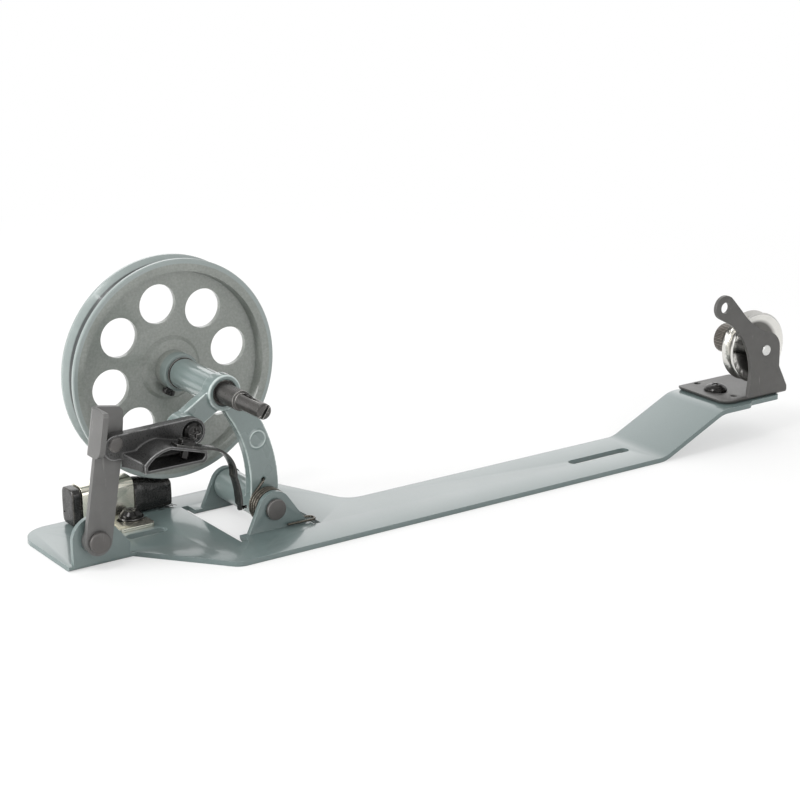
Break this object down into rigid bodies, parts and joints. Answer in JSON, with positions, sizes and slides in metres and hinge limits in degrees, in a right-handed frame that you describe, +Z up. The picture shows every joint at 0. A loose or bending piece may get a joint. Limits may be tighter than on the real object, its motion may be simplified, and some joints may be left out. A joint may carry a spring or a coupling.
{
  "type": "sewing bobbin winder",
  "caption": "Belt-driven sewing bobbin winder: long enamelled base, swing arm with belt wheel and bobbin spindle, thumb latch lever, leather brake, and disc thread tension at the far end",
  "frame": {"origin": "On the underside of the base, straight below the axis of the swing arm's hinge pin, level with the outer face of the front hinge ear", "axes": "+X runs along the base from the thumb lever to the thread tension, +Y runs back along the spindle from its tip to the belt wheel, +Z is up"},
  "size_m": [0.3299, 0.0775, 0.1004],
  "materials": {
    "grey_enamel": "gloss enamel over sheet and cast metal",
    "dark_steel": "dark oxide finish",
    "black_steel": "black oxide finish",
    "bright_steel": "machined",
    "zinc_plate": "pale yellow zinc plating",
    "spring_steel": "dark drawn wire",
    "polished_plate": "bright plating",
    "bush_metal": "plain bearing",
    "brake_facing": "worn dark facing"
  },
  "bodies": {
    "base": {"base_plate": "grey_enamel", "lever_pivot_pin": "dark_steel", "lever_spacer": "dark_steel", "hinge_pin": "dark_steel", "hinge_pin_clip": "spring_steel", "return_spring": "spring_steel", "brake_bracket": "zinc_plate", "brake_leather": "brake_facing", "brake_screw": "black_steel", "brake_washer": "zinc_plate", "tension_bracket": "dark_steel", "bracket_screw": "black_steel", "tension_post": "bright_steel", "tension_spring": "spring_steel"},
    "arm": {"swing_arm": "grey_enamel", "spindle_bush_front": "bush_metal", "spindle_bush_rear": "bush_metal", "link_pivot_screw": "black_steel", "thrust_washer": "bright_steel"},
    "wheel": {"winding_wheel": "grey_enamel", "wheel_set_screw": "black_steel", "spindle": "dark_steel", "bobbin_clip": "spring_steel"},
    "link": {"latch_link": "dark_steel", "fill_finger": "dark_steel", "elbow_rivet_head": "dark_steel"},
    "lever": {"latch_lever": "dark_steel", "elbow_rivet_tail": "dark_steel"},
    "finger_screw": {"finger_screw": "black_steel"},
    "nut": {"tension_nut": "black_steel"},
    "disc_front": {"tension_disc_front": "polished_plate"},
    "disc_rear": {"tension_disc_rear": "polished_plate"}
  },
  "joints": [
    {"name": "arm_swing", "type": "hinge", "parent": "base", "child": "arm", "pos_m": [0, 0.02, 0.01], "axis": [0, 1, 0], "range_deg": [0, 20], "stiffness_Nm_per_rad": 0.05, "deforming": ["return_spring"]},
    {"name": "lever_turn", "type": "hinge", "parent": "base", "child": "lever", "pos_m": [-0.071, 0.0063, 0.0108], "axis": [0, 1, 0], "range_deg": [0, 39.8]},
    {"name": "link_turn", "type": "hinge", "parent": "arm", "child": "link", "pos_m": [-0.0332, 0.003, 0.0465], "axis": [0, 1, 0], "range_deg": [-63, 0]},
    {"name": "wheel_spin", "type": "hinge", "parent": "arm", "child": "wheel", "pos_m": [-0.0161, 0.023, 0.057], "axis": [0, 1, 0], "continuous": true},
    {"name": "finger_screw_turn", "type": "hinge", "parent": "link", "child": "finger_screw", "pos_m": [-0.04089, -0.0078, 0.04486], "axis": [0.2756, 0, 0.9613], "range_deg": [-90, 90]},
    {"name": "nut_turn", "type": "hinge", "parent": "base", "child": "nut", "pos_m": [0.2332, 0.005, 0.0372], "axis": [0, 1, 0], "range_deg": [-180, 180]},
    {"name": "front_disc_spin", "type": "hinge", "parent": "base", "child": "disc_front", "pos_m": [0.2332, -0.011, 0.0372], "axis": [0, 1, 0], "continuous": true},
    {"name": "rear_disc_lift", "type": "slide", "parent": "base", "child": "disc_rear", "axis": [0, 1, 0], "range_m": [0, 0.0012], "stiffness_N_per_m": 200, "deforming": ["tension_spring"]}
  ],
  "couplings": [
    {"joint": "lever_turn", "follows": "arm_swing", "ratio": 1.99},
    {"joint": "link_turn", "follows": "arm_swing", "ratio": -3.15}
  ]
}
